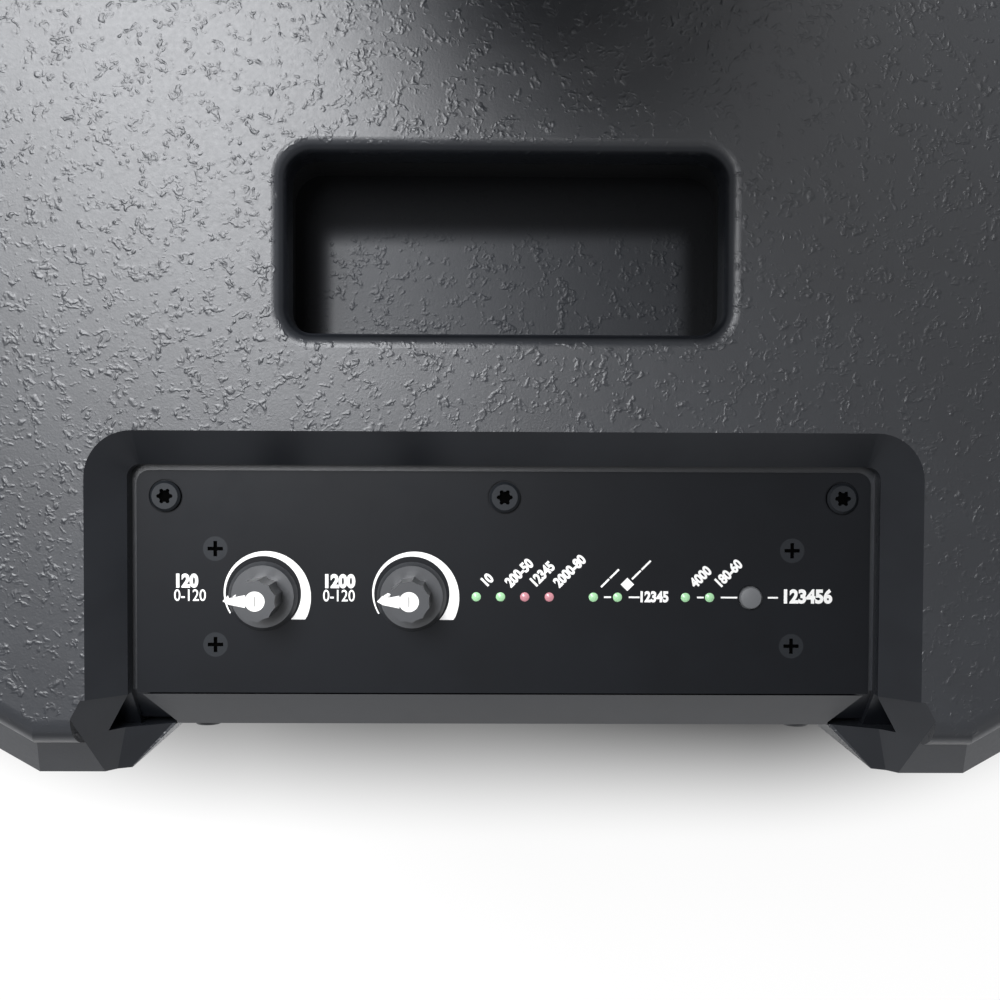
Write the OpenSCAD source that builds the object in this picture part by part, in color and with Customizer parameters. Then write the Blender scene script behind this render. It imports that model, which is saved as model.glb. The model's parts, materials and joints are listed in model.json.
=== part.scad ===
/* [Cabinet] */
// Width over the side panels
cab_w = 350; // [346:2:390]
// Depth from the front edge to the rear face
cab_d = 430; // [420:5:480]
// Height of the top face above the floor
cab_h = 480; // [475:5:540]
// Thickness of the plywood panels
ply = 15; // [13:0.5:16]
// Thickness of the baffle
baffle_t = 18; // [15:1:20]
// How far the baffle stands back from the front edge
baffle_setback = 22; // [20:1:26]
// Radius of the long edges of the top
side_round = 5; // [2:0.5:8]
// Radius of the rear edge of the top
edge_round = 9; // [5:0.5:10]
// Height and depth of the slope under the rear edge
edge_slope = 12.5; // [9:0.5:14]
// Width of the cut at each rear corner, seen from above
corner_cut_w = 21.5; // [15:0.5:25]
// Angle of the cut at each rear corner
corner_angle = 30; // [20:1:40]

/* [Notch for the plates] */
// Width of the notch at the foot of its bevel
notch_w = 242.8; // [238:0.2:250]
// Distance from the rear face to the front wall of the notch
notch_d = 102; // [100:0.5:108]
// Width and height of the bevel round the notch
notch_bevel = 10.7; // [8:0.1:11.5]
// Corner radius at the foot of the bevel
notch_corner = 4.3; // [3:0.1:6]
// Width of the rear opening between its bevels
rear_gap_w = 220; // [216:1:226]
// Thickness of the two plates
plate_t = 2; // [1.5:0.5:3]
// Gap round the plates
plate_gap = 1.9; // [1:0.1:2.5]
// Height and depth of the lip that folds over the rear edge
lip = 12.6; // [11:0.2:14]
// Height of the rear plate's lower edge above the floor
plate_low = 150; // [140:1:160]
// Gap between the two plates
seam = 0.6; // [0.3:0.1:1]
// Width of the wooden frame under the plates
frame_w = 18; // [16:1:19]
// Thickness of the wooden frame under the plates
frame_t = 14; // [10:1:16]

/* [Grip] */
// Length of the grip opening at the top face
grip_w = 147; // [135:1:155]
// Depth of the grip opening at the top face, front to rear
grip_d = 65.6; // [60:0.5:70]
// Distance from the rear face to the centre of the grip
grip_back = 171.5; // [168:0.5:176]
// Corner radius of the grip opening at the top face
grip_corner = 12.5; // [10:0.5:16]
// Radius that rounds the edge of the grip
grip_round = 4.8; // [3:0.1:6]
// Depth of the grip recess below the top face
grip_deep = 38; // [32:1:42]
// How far the recess reaches under the rear edge of the grip
grip_reach = 14; // [8:1:16]
// Wall of the tray
tray_wall = 4; // [3:0.5:5]

/* [Pole socket] */
// Distance from the rear face to the pole
pole_back = 290; // [282:1:300]
// Radius of the threaded hole's wall
pole_r = 8.65; // [8:0.05:9]
// Length of the threaded hole
pole_len = 45; // [30:1:50]
// Radius of the round flange
flange_r = 38; // [37:1:42]
// Radius of the screw circle in the flange
flange_screws_r = 32; // [31:0.5:33]

/* [Feet and grille] */
// Height of the rubber feet
foot_h = 12; // [8:1:20]
// Radius of the feet at the floor
foot_r = 18; // [15:1:22]
// How far the feet stand in from the corners
foot_inset = 42; // [36:1:50]
// Thickness of the grille sheet
grille_t = 1.5; // [1:0.5:2]
// Distance between the hexagons
grille_pitch = 17; // [15:1:22]
// Width of the metal between the hexagons
grille_web = 3; // [2.5:0.5:5]
// Solid border of the grille
grille_border = 14; // [12:1:18]
// Depth of the grille's folded rim
grille_rim = 12; // [8:1:14]
// Thickness of the foam behind the grille
foam_t = 4; // [3:0.5:5]

/* [Woofer and ports] */
// Outer radius of the woofer's flange
woofer_r = 131; // [129:0.5:133]
// Height of the woofer's centre above the floor panel
woofer_up = 145; // [142:1:150]
// Depth of the basket behind the baffle's front face
basket_deep = 72; // [68:1:78]
// Radius of the voice coil
coil_r = 25.5; // [24:0.5:27]
// Radius of the magnet ring
magnet_r = 70; // [60:1:75]
// Height of the magnet ring
magnet_h = 20; // [16:1:24]
// Inner radius of the port tubes
port_r = 35; // [30:1:37]
// Length of the port tubes
port_len = 150; // [120:5:180]
// Distance of each port from the centre line
port_x = 82; // [78:1:88]
// Radius that flares the mouth of each port
port_lip = 6; // [4:0.5:7]
// How far the ports sit below the middle of the space over the brace
port_drop = 6; // [2:1:10]

/* [Controls] */
// Radius of the level knobs' skirts
skirt_r = 10.15; // [9:0.05:11]
// Height of the level knobs over the control plate
knob_h = 16.5; // [14:0.5:18]
// Radius of the level knobs at their foot
knob_r = 7.3; // [6.5:0.1:8]
// Places of the two level knobs, from the centre line
knob_x = [78.4, 30.1];
// Places of the green lamps, from the centre line
green_x = [9.1, 1.2, -29.1, -37, -59.2, -67.1];
// Places of the red lamps, from the centre line
red_x = [-6.7, -14.7];
// Place of the system button, from the centre line
button_x = -80.4; // [-84:0.2:-76]
// Distance from the rear face to the row of controls
row_back = 59.2; // [56:0.2:64]
// Radius of the system button
button_r = 3.7; // [3:0.1:4.5]
// Radius of the lamps
lamp_r = 1.5; // [1:0.1:2]
// Distance from the rear face to the six-lobe screws in the control plate
torx_back = 91.7; // [90:0.1:93]
// Distance of the outer six-lobe screws from the ends of the control plate
torx_edge = 9.5; // [7.5:0.5:13]
// Distance of the cross-head screws from the ends of the control plate
cross_edge = 25.5; // [23:0.5:28]
// Distances from the rear face to the two rows of cross-head screws
cross_back = [74.6, 43.3];
// Depth of the control board under the control plate
board_drop = 12; // [10:0.5:16]

/* [Rear plate] */
// Radius of the rear level knobs
rear_knob_r = 6; // [5:0.5:7]
// Height of the rear level knobs over the rear plate
rear_knob_h = 11.5; // [9:0.5:12]
// Distance from the edges of the rear opening to the outer knobs and sockets
rear_margin = 41; // [38:0.5:46]
// Distance from the top face down to the rear level knobs
rear_knob_down = 102; // [98:1:104]
// Distance from the top face down to the row of signal sockets
socket_down = 55; // [52:1:58]
// Distance from the top face down to the speaker sockets
speaker_down = 146; // [142:1:150]
// Distance from the edge of the rear opening to the mains inlet
mains_in = 52; // [48:0.5:58]
// Height of the mains inlet over the plate's lower edge
mains_up = 46; // [42:1:50]
// Number of fins on the heat sink
fin_count = 15; // [9:2:19]

/* [Hidden] */
fit = 0.1;
bend = sqrt(2) - 1;
play = 0.3;
shaft_r = 3;
shaft_fit = 0.05;
pointer_end = 0.8;
skirt_h = 1.6;
front_y = -cab_d / 2;
rear_y = cab_d / 2;
base_z = foot_h;
floor_z = base_z + ply;
under_z = cab_h - ply;
inner_x = cab_w / 2 - ply;
rear_in = rear_y - ply;
baffle_y = front_y + baffle_setback;
baffle_in = baffle_y + baffle_t;
cut_x = cab_w / 2 - corner_cut_w;
big = 2 * max(cab_w, cab_d, cab_h);
notch_y = rear_y - notch_d;
plate_half = notch_w / 2 - plate_gap;
rear_half = rear_gap_w / 2 - plate_gap / 3;
torx_x = plate_half - torx_edge;
cross_x = plate_half - cross_edge;
fold_y = rear_in - lip;
fold_z = under_z - lip;
rear_bevel = ply - 0.5;
row_y = rear_y - row_back;
board_t = 1.6;
board_z = under_z - plate_t - board_drop;
grip_y = rear_y - grip_back;
pole_y = rear_y - pole_back;
flange_neck = flange_screws_r - 6;
woofer_z = floor_z + woofer_up;
cone_r = woofer_r - 27;
neck_r = coil_r + 32;
cone_deep = basket_deep - 31;
roll_r = 6.5;
travel = 5;
button_travel = 0.8;
button_up = 1.6;
torx_head_r = 5;
torx_head_h = 2.4;
torx_shaft_r = 2.4;
cross_head_r = 4;
cross_shaft_r = 1.9;
screw_len = 12;
rear_screw_x = rear_half - 8;
rear_screw_z = [plate_low + 10, (plate_low + fold_z) / 2, fold_z - 12];
foot_x = cab_w / 2 - foot_inset;
foot_y = cab_d / 2 - foot_inset;
grille_gap = 1;
grille_y = front_y + 1;
grille_w = 2 * (inner_x - grille_gap);
grille_z = floor_z + grille_gap;
grille_h = under_z - floor_z - 2 * grille_gap;
hex_r = (grille_pitch - grille_web) / sqrt(3);
hex_row = grille_pitch * sqrt(3) / 2;
grille_screw_x = grille_w / 2 - grille_border / 2;
grille_screw_z = [for (k = [0 : 2]) grille_z + grille_border / 2 + k * (grille_h - grille_border) / 2];
rear_knob_z = cab_h - rear_knob_down;
socket_z = cab_h - socket_down;
speaker_z = cab_h - speaker_down;
mains_z = plate_low + mains_up;
mains_x = mains_in - rear_gap_w / 2;
rear_pitch = (rear_gap_w - 2 * rear_margin) / 3;
rocker_x = 0;
fuse_z = mains_z - 20;
sink_z = [mains_z + 22, speaker_z - 22];
sink_w = 2 * rear_screw_x - 24;
brace_z = woofer_z + woofer_r + 8;
brace_t = 12;
port_wall = 3;
port_flange = 9;
port_z = (brace_z + brace_t + under_z) / 2 - port_drop;
amp_gap = 44;
pot_h = board_drop;
bush_r = 3.6;
socket_r = 12;
socket_deep = 14;
mains_body = [28, 24];
mains_deep = 22;
fuse_body = [24, 10];
fuse_deep = 20;
rocker_body = [19, 26];
rocker_pin_r = 1.5;
rocker_tilt = 9;
rocker_deep = 5;

// ---------- shared shapes ----------

module box(x0, x1, y0, y1, z0, z1) translate([x0, y0, z0]) cube([x1 - x0, y1 - y0, z1 - z0]);

module rounded(w, h, r) {
  square([w - 2 * r, h], center = true);
  square([w, h - 2 * r], center = true);
  for (x = [-1, 1], y = [-1, 1]) translate([x * (w / 2 - r), y * (h / 2 - r)]) circle(r, $fn = 48);
}

module mirrored() {
  children();
  mirror([1, 0, 0]) children();
}

// Section of the rear edge: upright rear face, slope, then a quarter round up to the top face
module edge_section() {
  polygon([
    [-big, 0], [0, 0], [0, cab_h - edge_round - edge_slope], [-edge_slope, cab_h - edge_round],
    [-edge_slope - edge_round, cab_h - edge_round], [-edge_slope - edge_round, cab_h], [-big, cab_h]
  ]);
  translate([-edge_slope - edge_round, cab_h - edge_round]) circle(edge_round, $fn = 64);
}

module edge_prism() rotate([90, 0, 90]) linear_extrude(2 * big, center = true) edge_section();

// The whole outside of the cabinet, which every wooden panel is cut from
module outside() {
  intersection() {
    translate([0, 0, base_z]) linear_extrude(cab_h - base_z) {
      cut_y = rear_y - corner_cut_w * tan(corner_angle);
      side = cab_w / 2;
      polygon([
        [-side, front_y + side_round], [side_round - side, front_y + side_round],
        [side_round - side, front_y],
        [side - side_round, front_y], [side - side_round, front_y + side_round], [side, front_y + side_round],
        [side, cut_y], [cut_x, rear_y], [-cut_x, rear_y], [-side, cut_y]
      ]);
      for (s = [-1, 1]) translate([s * (side - side_round), front_y + side_round])
        circle(side_round, $fn = 48);
    }
    translate([0, rear_y, 0]) edge_prism();
    translate([cut_x, rear_y, 0]) rotate([0, 0, -corner_angle]) edge_prism();
    translate([-cut_x, rear_y, 0]) rotate([0, 0, corner_angle]) edge_prism();
    rotate([90, 0, 0]) linear_extrude(2 * big, center = true) {
      side = cab_w / 2;
      shoulder = cab_h - side_round;
      polygon([
        [-side, 0], [side, 0], [side, shoulder], [side - side_round, shoulder], [side - side_round, cab_h],
        [side_round - side, cab_h], [side_round - side, shoulder], [-side, shoulder]
      ]);
      for (s = [-1, 1]) translate([s * (side - side_round), shoulder]) circle(side_round, $fn = 48);
    }
  }
}

// Material taken out of the top and rear panels for the two plates
module notch_cut() {
  half = notch_w / 2;
  core = half - notch_corner;
  foot_z = cab_h - notch_bevel;
  over = 2;
  back = rear_y - edge_slope - edge_round;
  translate([0, (notch_y + fold_y) / 2, under_z - 1]) linear_extrude(ply + 1)
    difference() {
      translate([0, notch_corner]) rounded(notch_w, fold_y - notch_y + 2 * notch_corner, notch_corner);
      translate([-half, (fold_y - notch_y) / 2]) square([notch_w, 3 * notch_corner]);
    }
  rotate([90, 0, 0]) translate([0, 0, -back]) linear_extrude(back - notch_y - notch_corner) polygon([
    [-half, foot_z], [half, foot_z], [half + notch_bevel + over, cab_h + over],
    [-half - notch_bevel - over, cab_h + over]
  ]);
  rotate([90, 0, 90]) linear_extrude(2 * core, center = true) polygon([
    [notch_y, foot_z], [notch_y - notch_bevel - over, cab_h + over],
    [notch_y + notch_corner, cab_h + over], [notch_y + notch_corner, foot_z]
  ]);
  mirrored() translate([core, notch_y + notch_corner, foot_z])
    cylinder(h = notch_bevel + over, r1 = notch_corner, r2 = notch_corner + notch_bevel + over, $fn = 64);
  throat_cut();
  low = plate_low - plate_gap;
  reach = rear_bevel + over;
  intersection() {
    translate([0, 0, low - reach]) linear_extrude(fold_z - low + reach + 1) polygon([
      [-rear_gap_w / 2, rear_in - 1], [rear_gap_w / 2, rear_in - 1], [rear_gap_w / 2, rear_y - rear_bevel],
      [rear_gap_w / 2 + reach, rear_y + over], [-rear_gap_w / 2 - reach, rear_y + over],
      [-rear_gap_w / 2, rear_y - rear_bevel]
    ]);
    rotate([90, 0, 90]) linear_extrude(rear_gap_w + 2 * reach, center = true) polygon([
      [rear_in - 1, low], [rear_y - rear_bevel, low], [rear_y + over, low - reach],
      [rear_y + over, fold_z + 1],
      [rear_in - 1, fold_z + 1]
    ]);
  }
}

// The flared cut where the notch turns over the rear edge
module throat_cut() {
  a = notch_w / 2;
  b = rear_gap_w / 2;
  back = rear_y - edge_slope - edge_round;
  down = cab_h - edge_slope - edge_round;
  over = 6;
  ends = [
    [a, fold_y, under_z - 1], [a, fold_y, cab_h - notch_bevel],
    [b, rear_in - 1, fold_z], [b, rear_y - rear_bevel, fold_z],
    [a + notch_bevel + over, fold_y, cab_h + over], [a + notch_bevel + over, back, cab_h + over],
    [b + rear_bevel + over, rear_y + over, fold_z], [b + rear_bevel + over, rear_y + over, down]
  ];
  points = [for (s = [-1, 1], p = ends) [s * p[0], p[1], p[2]]];
  hull() polyhedron(points, [for (i = [0 : len(points) - 3]) [i, i + 1, i + 2]]);
}

// Rounded-over opening, seen from above, whose edge curves out to the full size at the top
module grip_cut() {
  w = grip_w - 2 * grip_round;
  d = grip_d - 2 * grip_round;
  r = grip_corner - grip_round;
  translate([0, 0, under_z - 1]) linear_extrude(ply + 2) rounded(w, d, r);
  for (s = [0, 180]) rotate([0, 0, s]) {
    translate([w / 2, 0, cab_h]) rotate([90, 0, 0]) linear_extrude(d - 2 * r, center = true) flare();
    translate([0, d / 2, cab_h]) rotate([90, 0, 90]) linear_extrude(w - 2 * r, center = true) flare();
    translate([w / 2 - r, d / 2 - r, cab_h]) rotate_extrude(angle = 90, $fn = 64) translate([r, 0]) flare();
    translate([r - w / 2, d / 2 - r, cab_h]) rotate([0, 0, 90])
      rotate_extrude(angle = 90, $fn = 64) translate([r, 0]) flare();
  }
}

module flare() difference() {
  translate([-0.5, -grip_round]) square([grip_round + 0.5, grip_round + 1]);
  translate([grip_round, -grip_round]) circle(grip_round, $fn = 64);
}

module at_front() translate([0, baffle_y, woofer_z]) rotate([-90, 0, 0]) children();
module at_rear(x, z) translate([x, rear_in, z]) rotate([-90, 0, 0]) children();

// Pan head with a six-lobe recess, its seat at z = 0 and its shaft pointing down
module torx_screw() {
  difference() {
    union() {
      cylinder(h = torx_head_h - 0.8, r = torx_head_r, $fn = 64);
      translate([0, 0, torx_head_h - 0.8])
        cylinder(h = 0.8, r1 = torx_head_r, r2 = torx_head_r - 0.8, $fn = 64);
    }
    translate([0, 0, torx_head_h - 1.6]) {
      cylinder(h = 2, r = 1.9, $fn = 32);
      for (k = [0 : 5]) rotate([0, 0, 60 * k]) translate([1.95, 0, 0]) cylinder(h = 2, r = 0.65, $fn = 24);
    }
  }
  translate([0, 0, -screw_len]) cylinder(h = screw_len, r = torx_shaft_r, $fn = 48);
}

// Countersunk head with a cross recess, its face at z = 0
module cross_screw(length) {
  difference() {
    cylinder(h = 2.1, r1 = cross_head_r, r2 = cross_shaft_r, $fn = 48);
    for (a = [0, 90]) rotate([0, 0, a]) translate([-2.5, -0.6, -1]) cube([5, 1.2, 2.3]);
  }
  translate([0, 0, 2]) cylinder(h = length - 2, r = cross_shaft_r, $fn = 48);
}

module cross_hole() {
  translate([0, 0, -fit]) cylinder(h = 2.1, r1 = cross_head_r + fit, r2 = cross_shaft_r + fit, $fn = 48);
  translate([0, 0, -1]) cylinder(h = 40, r = cross_shaft_r + fit, $fn = 48);
}

module plate_screw_places() {
  for (x = [-torx_x, 0, torx_x]) translate([x, rear_y - torx_back, under_z]) children();
  for (x = [-1, 1], z = rear_screw_z)
    translate([x * rear_screw_x, rear_in, z]) rotate([-90, 0, 0]) children();
}

// ---------- wooden cabinet ----------

module top_panel() color([0.09, 0.09, 0.1]) difference() {
  intersection() {
    outside();
    box(-big, big, -big, big, under_z, cab_h + 1);
  }
  notch_cut();
  translate([0, grip_y, 0]) grip_cut();
  translate([0, pole_y, under_z - 1]) cylinder(h = ply + 2, r = flange_neck + fit, $fn = 96);
  translate([0, pole_y, cab_h - 3]) cylinder(h = 4, r = flange_r + fit, $fn = 96);
  pole_screw_places() cylinder(h = 40, r = cross_shaft_r + fit, center = true, $fn = 32);
}

module bottom_panel() color([0.09, 0.09, 0.1]) difference() {
  box(-inner_x, inner_x, front_y, rear_in, base_z, floor_z);
  foot_places() cylinder(h = 3 * ply, r = cross_shaft_r + fit, $fn = 32);
}

module side_panel() intersection() {
  outside();
  box(inner_x, big, -big, big, base_z, under_z);
}

module left_side_panel() color([0.09, 0.09, 0.1]) side_panel();
module right_side_panel() color([0.09, 0.09, 0.1]) mirror([1, 0, 0]) side_panel();

module rear_panel() color([0.09, 0.09, 0.1]) difference() {
  intersection() {
    outside();
    box(-inner_x, inner_x, rear_in, big, base_z, under_z);
  }
  notch_cut();
}

module baffle() color([0.12, 0.12, 0.12]) difference() {
  box(-inner_x, inner_x, baffle_y, baffle_in, floor_z, under_z);
  at_front() translate([0, 0, -1]) cylinder(h = baffle_t + 2, r = woofer_r - 11, $fn = 128);
  woofer_screw_places() cylinder(h = 3 * baffle_t, r = cross_shaft_r + fit, center = true, $fn = 32);
  port_places() translate([0, 0, -1]) cylinder(h = baffle_t + 2, r = port_r + port_wall + fit, $fn = 96);
  port_places() translate([0, 0, -1]) cylinder(h = port_wall + 1, r = port_r + port_flange + fit, $fn = 96);
  grille_screw_places() cylinder(h = baffle_in - grille_y + 1, r = cross_shaft_r + fit, $fn = 32);
}

module window_brace() color([0.6, 0.47, 0.32]) difference() {
  box(-inner_x, inner_x, baffle_in, rear_in - amp_gap - 46, brace_z, brace_z + brace_t);
  translate([0, (baffle_in + rear_in - amp_gap - 46) / 2, brace_z - 1]) linear_extrude(brace_t + 2)
    mirrored() translate([inner_x / 2 - 5, 0])
      rounded(inner_x - 40, rear_in - amp_gap - 46 - baffle_in - 60, 20);
}

// Rebated frame that the two plates are screwed to
module plate_frame() color([0.2, 0.19, 0.18]) difference() {
  union() {
    mirrored() frame_strip(notch_w / 2 - frame_w, notch_w / 2 + 12, plate_t);
    mirrored() frame_strip(notch_w / 2, notch_w / 2 + 12, 0);
    mirrored()
      box(rear_half - frame_w, notch_w / 2 + 12, rear_in - frame_t, rear_in - plate_t,
        plate_low - 12, fold_z - 6);
    box(-notch_w / 2, notch_w / 2, notch_y, notch_y + 20, under_z - frame_t, under_z - plate_t);
    box(-notch_w / 2, notch_w / 2, notch_y - 12, notch_y, under_z - frame_t, under_z);
    box(-notch_w / 2, notch_w / 2, rear_in - frame_t, rear_in - plate_t, plate_low, plate_low + 16);
    box(-notch_w / 2, notch_w / 2, rear_in - frame_t, rear_in, plate_low - 12, plate_low - plate_gap);
  }
  plate_screw_places() cylinder(h = 60, r = torx_shaft_r + fit, center = true, $fn = 32);
}

// One strip that follows the top and the rear, set back from both by the sheet's thickness
module frame_strip(x0, x1, sunk) {
  t = under_z - sunk;
  y = rear_in - sunk;
  u = under_z - frame_t;
  v = rear_in - frame_t;
  low = plate_low - 12;
  translate([x0, 0, 0]) rotate([90, 0, 90]) linear_extrude(x1 - x0) polygon([
    [notch_y - 12, t], [fold_y - sunk * bend, t], [y, fold_z - sunk * bend], [y, low],
    [v, low], [v, fold_z - 6], [fold_y - 6, u], [notch_y - 12, u]
  ]);
}

module handle_tray() color([0.08, 0.08, 0.09]) difference() {
  w = grip_w - 2 * grip_round + 5;
  d = grip_d - 2 * grip_round + 1;
  translate([0, grip_y, cab_h - grip_deep - tray_wall]) linear_extrude(grip_deep + tray_wall - ply)
    translate([0, grip_reach / 2]) rounded(w + 2 * tray_wall, d + grip_reach + 2 * tray_wall, 10 + tray_wall);
  translate([0, grip_y, cab_h - grip_deep]) linear_extrude(grip_deep)
    translate([0, grip_reach / 2]) rounded(w, d + grip_reach, 10);
}

module wadding() color([0.75, 0.75, 0.72]) mirrored()
  box(inner_x - 18, inner_x - play, baffle_in + 10, rear_in - amp_gap - 50, floor_z + play, brace_z - 5);

// ---------- pole socket, feet, grille ----------

module pole_screw_places() for (k = [0 : 3]) translate([0, pole_y, cab_h]) rotate([0, 0, 45 + 90 * k])
  translate([flange_screws_r, 0, 0]) children();

module pole_socket() color([0.16, 0.16, 0.17]) translate([0, pole_y, cab_h]) difference() {
  union() {
    translate([0, 0, -3]) cylinder(h = 3, r = flange_r, $fn = 96);
    translate([0, 0, -ply - 4]) cylinder(h = ply + 2, r = flange_neck, $fn = 96);
    translate([0, 0, -pole_len]) cylinder(h = pole_len, r = pole_r + 7, $fn = 96);
  }
  translate([0, 0, 3 - pole_len]) cylinder(h = pole_len, r = pole_r, $fn = 96);
  translate([0, 0, -1.5]) cylinder(h = 2, r1 = pole_r, r2 = pole_r + 2, $fn = 96);
  for (k = [0 : 3]) rotate([0, 0, 45 + 90 * k]) translate([flange_screws_r, 0, 0])
    rotate([180, 0, 0]) cross_hole();
}

module pole_socket_screws() color([0.25, 0.25, 0.26])
  pole_screw_places() rotate([180, 0, 0]) cross_screw(ply - 1);

module foot_places() for (x = [-1, 1], y = [-1, 1]) translate([x * foot_x, y * foot_y, 0]) children();

module feet() color([0.05, 0.05, 0.05]) foot_places() difference() {
  cylinder(h = foot_h, r1 = foot_r, r2 = foot_r + 2, $fn = 64);
  translate([0, 0, -1]) cylinder(h = foot_h - 3, r = cross_head_r + 1.5, $fn = 48);
  cylinder(h = foot_h + 1, r = cross_shaft_r + fit, $fn = 48);
}

module foot_screws() color([0.6, 0.6, 0.6]) foot_places() translate([0, 0, foot_h - 6]) {
  difference() {
    cylinder(h = 2, r = cross_head_r, $fn = 48);
    for (a = [0, 90]) rotate([0, 0, a]) translate([-2.2, -0.5, -1]) cube([4.4, 1, 2.2]);
  }
  cylinder(h = 6 + ply - 4, r = cross_shaft_r, $fn = 48);
}

module grille_screw_places() for (x = [-1, 1], z = grille_screw_z)
  translate([x * grille_screw_x, grille_y, z]) rotate([-90, 0, 0]) children();

// Perforated steel sheet with a folded rim
module grille() color([0.1, 0.1, 0.1]) difference() {
  translate([0, grille_y, grille_z + grille_h / 2]) rotate([-90, 0, 0]) difference() {
    linear_extrude(grille_rim) rounded(grille_w, grille_h, 6);
    translate([0, 0, grille_t]) linear_extrude(grille_rim)
      rounded(grille_w - 2 * grille_t, grille_h - 2 * grille_t, 6 - grille_t);
    hexagons();
  }
  grille_screw_places() translate([0, 0, -1]) cylinder(h = 5, r = cross_shaft_r + fit, $fn = 32);
}

module hexagons() {
  columns = floor((grille_w - 2 * grille_border - grille_pitch) / grille_pitch / 2);
  rows = floor((grille_h - 2 * grille_border - hex_r * 2) / hex_row / 2);
  for (j = [-rows : rows], i = [-columns : columns - abs(j % 2)])
    translate([(i + abs(j % 2) / 2) * grille_pitch, j * hex_row, -1])
      rotate([0, 0, 30]) cylinder(h = grille_t + 2, r = hex_r, $fn = 6);
}

module grille_foam() color([0.04, 0.04, 0.04]) difference() {
  box(-grille_screw_x - 2, grille_screw_x + 2, grille_y + grille_t, grille_y + grille_t + foam_t,
      grille_screw_z[0] - 2, grille_screw_z[2] + 2);
  grille_screw_places() cylinder(h = 20, r = 5 + play, $fn = 48);
}

module grille_spacers() color([0.2, 0.2, 0.2]) grille_screw_places() difference() {
  translate([0, 0, grille_t]) cylinder(h = baffle_y - grille_y - grille_t, r = 5, $fn = 48);
  cylinder(h = 40, r = cross_shaft_r + fit, $fn = 32);
}

module grille_screws() color([0.15, 0.15, 0.15]) grille_screw_places() {
  difference() {
    translate([0, 0, -1]) cylinder(h = 1, r1 = cross_head_r - 0.6, r2 = cross_head_r, $fn = 48);
    for (a = [0, 90]) rotate([0, 0, a]) translate([-2, -0.5, -2]) cube([4, 1, 1.6]);
  }
  cylinder(h = baffle_y - grille_y + 10, r = cross_shaft_r, $fn = 32);
}

// ---------- woofer and ports ----------

module woofer_screw_places() at_front() for (k = [0 : 7]) rotate([0, 0, 22.5 + 45 * k])
  translate([woofer_r - 5.5, 0, -4]) children();

// Cast basket: flange, six spokes and a ring that carries the magnet
module woofer_basket() color([0.2, 0.2, 0.21]) at_front() difference() {
  rim = woofer_r - 13;
  rotate_extrude($fn = 128) polygon([
    [rim, -4], [woofer_r, -4], [woofer_r, 0], [rim, 0], [rim, 8], [neck_r + 4, basket_deep - 6],
    [neck_r + 4, basket_deep], [coil_r + 4, basket_deep], [coil_r + 4, basket_deep - 4],
    [neck_r, basket_deep - 4], [neck_r, basket_deep - 8], [rim - 4, 7], [rim - 4, 0], [rim - 4, -4]
  ]);
  for (k = [0 : 5]) rotate([0, 0, 60 * k + 30]) translate([(neck_r + rim) / 2 + 4, 0, basket_deep / 2 + 2])
    rotate([0, 42, 0]) linear_extrude(60, center = true) rounded(44, 62, 8);
  for (k = [0 : 7]) rotate([0, 0, 22.5 + 45 * k]) translate([woofer_r - 5.5, 0, -4]) cross_hole();
}

module woofer_surround() color([0.05, 0.05, 0.05]) at_front() rotate_extrude($fn = 128) {
  translate([cone_r + play + roll_r, -4]) difference() {
    circle(roll_r, $fn = 48);
    circle(roll_r - 1, $fn = 48);
    translate([-20, 0]) square([40, 20]);
  }
  translate([cone_r + play + 2 * roll_r - 1, -5]) square([woofer_r - 10 - cone_r - play - 2 * roll_r + 1, 1]);
}

function cone_z(r) = -3 + cone_deep * pow((cone_r - r) / (cone_r - coil_r), 1.25);

module woofer_cone() color([0.1, 0.1, 0.1]) at_front() rotate_extrude($fn = 128) polygon(concat(
  [for (k = [0 : 10]) let (r = cone_r - k * (cone_r - coil_r - fit) / 10) [r, cone_z(r)]],
  [for (k = [10 : -1 : 0]) let (r = cone_r - k * (cone_r - coil_r - fit) / 10) [r, cone_z(r) + 1.2]]
));

module dust_cap() color([0.08, 0.08, 0.08]) at_front() {
  cap_r = coil_r + 9;
  cap_h = 9;
  ball = (cap_r * cap_r + cap_h * cap_h) / 2 / cap_h;
  translate([0, 0, cone_z(cap_r) - cap_h + 3 * play]) difference() {
    translate([0, 0, ball]) sphere(ball, $fn = 128);
    translate([0, 0, ball]) sphere(ball - 1, $fn = 128);
    translate([-big, -big, cap_h - 0.6]) cube(2 * big);
  }
}

function wave(k) = basket_deep - 7 - play + 1.8 * sin(k * 90);

// Corrugated disc that centres the voice coil
module spider() color([0.75, 0.6, 0.3]) at_front() {
  inner = coil_r + 0.8 + play;
  outer = neck_r - play - fit;
  steps = 24;
  rotate_extrude($fn = 96) polygon(concat(
    [for (k = [0 : steps]) [inner + k * (outer - inner) / steps, wave(k)]],
    [for (k = [steps : -1 : 0]) [inner + k * (outer - inner) / steps, wave(k) + 0.9]]
  ));
}

module voice_coil() color([0.7, 0.4, 0.2]) at_front() {
  translate([0, 0, basket_deep - 34]) difference() {
    cylinder(h = 50, r = coil_r, $fn = 96);
    translate([0, 0, -1]) cylinder(h = 52, r = coil_r - 0.5, $fn = 96);
  }
  translate([0, 0, basket_deep - 6]) difference() {
    cylinder(h = 20, r = coil_r + 0.6, $fn = 96);
    translate([0, 0, -1]) cylinder(h = 22, r = coil_r, $fn = 96);
  }
}

module top_plate() color([0.5, 0.5, 0.52]) at_front() translate([0, 0, basket_deep]) difference() {
  cylinder(h = 8, r = magnet_r - 4, $fn = 96);
  translate([0, 0, -1]) cylinder(h = 10, r = coil_r + 0.6 + 2 * play, $fn = 96);
}

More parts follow.
